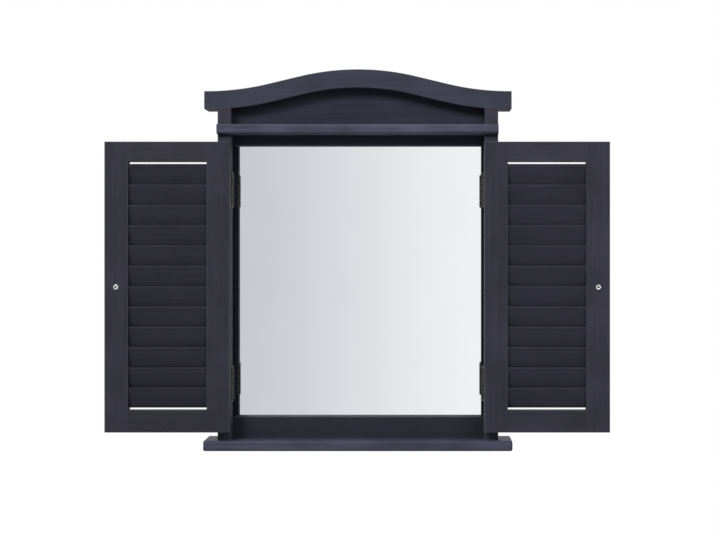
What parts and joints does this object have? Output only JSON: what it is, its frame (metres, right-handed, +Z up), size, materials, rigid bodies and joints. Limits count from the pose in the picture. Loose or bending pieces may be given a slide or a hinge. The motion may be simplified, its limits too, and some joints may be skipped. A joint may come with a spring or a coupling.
{
  "type": "shutter mirror",
  "caption": "Wall mirror framed as a small window with an arched crown, a sill and a pair of hinged louvred shutters that close over the glass.",
  "frame": {"origin": "on the wall plane, midway between the round entries of the two keyhole hangers", "axes": "+Z up, +Y into the wall, so the mirror faces -Y; +X to the right seen from the front"},
  "size_m": [0.688, 0.0678, 0.5245],
  "materials": {
    "painted_wood": "satin anthracite paint over softwood",
    "mirror_glass": "silvered float glass",
    "hardboard": "raw pressed hardboard",
    "beech": "raw beech dowel",
    "bronze": "dark antique bronze plating",
    "zinc_steel": "bright zinc plating"
  },
  "bodies": {
    "case": {"left_stile": "painted_wood", "right_stile": "painted_wood", "crown_arch": "painted_wood", "crown_panel": "painted_wood", "crown_ledge": "painted_wood", "bottom_rail": "painted_wood", "sill": "painted_wood", "left_bead": "painted_wood", "right_bead": "painted_wood", "mirror_glass": "mirror_glass", "backing_board": "hardboard", "backing_brads": "zinc_steel", "hanger_plates": "zinc_steel", "hanger_screws": "zinc_steel", "left_case_leaves": "bronze", "right_case_leaves": "bronze", "case_leaf_screws": "bronze", "case_dowels": "beech"},
    "left_shutter": {"left_outer_stile": "painted_wood", "left_hinge_stile": "painted_wood", "left_top_rail": "painted_wood", "left_bottom_rail": "painted_wood", "left_knob": "painted_wood", "left_knob_screw": "zinc_steel", "left_shutter_leaves": "bronze", "left_hinge_pins": "bronze", "left_leaf_screws": "bronze", "left_slat_01": "painted_wood", "left_slat_02": "painted_wood", "left_slat_03": "painted_wood", "left_slat_04": "painted_wood", "left_slat_05": "painted_wood", "left_slat_06": "painted_wood", "left_slat_07": "painted_wood", "left_slat_08": "painted_wood", "left_slat_09": "painted_wood", "left_slat_10": "painted_wood", "left_slat_11": "painted_wood", "left_slat_12": "painted_wood"},
    "right_shutter": {"right_outer_stile": "painted_wood", "right_hinge_stile": "painted_wood", "right_top_rail": "painted_wood", "right_bottom_rail": "painted_wood", "right_knob": "painted_wood", "right_knob_screw": "zinc_steel", "right_shutter_leaves": "bronze", "right_hinge_pins": "bronze", "right_leaf_screws": "bronze", "right_slat_01": "painted_wood", "right_slat_02": "painted_wood", "right_slat_03": "painted_wood", "right_slat_04": "painted_wood", "right_slat_05": "painted_wood", "right_slat_06": "painted_wood", "right_slat_07": "painted_wood", "right_slat_08": "painted_wood", "right_slat_09": "painted_wood", "right_slat_10": "painted_wood", "right_slat_11": "painted_wood", "right_slat_12": "painted_wood"}
  },
  "joints": [
    {"name": "left_shutter_hinge", "type": "hinge", "parent": "case", "child": "left_shutter", "pos_m": [-0.1725, -0.0461, -0.20535], "axis": [0, 0, 1], "range_deg": [-8, 180]},
    {"name": "right_shutter_hinge", "type": "hinge", "parent": "case", "child": "right_shutter", "pos_m": [0.1725, -0.0461, -0.20535], "axis": [0, 0, -1], "range_deg": [-8, 180]}
  ]
}
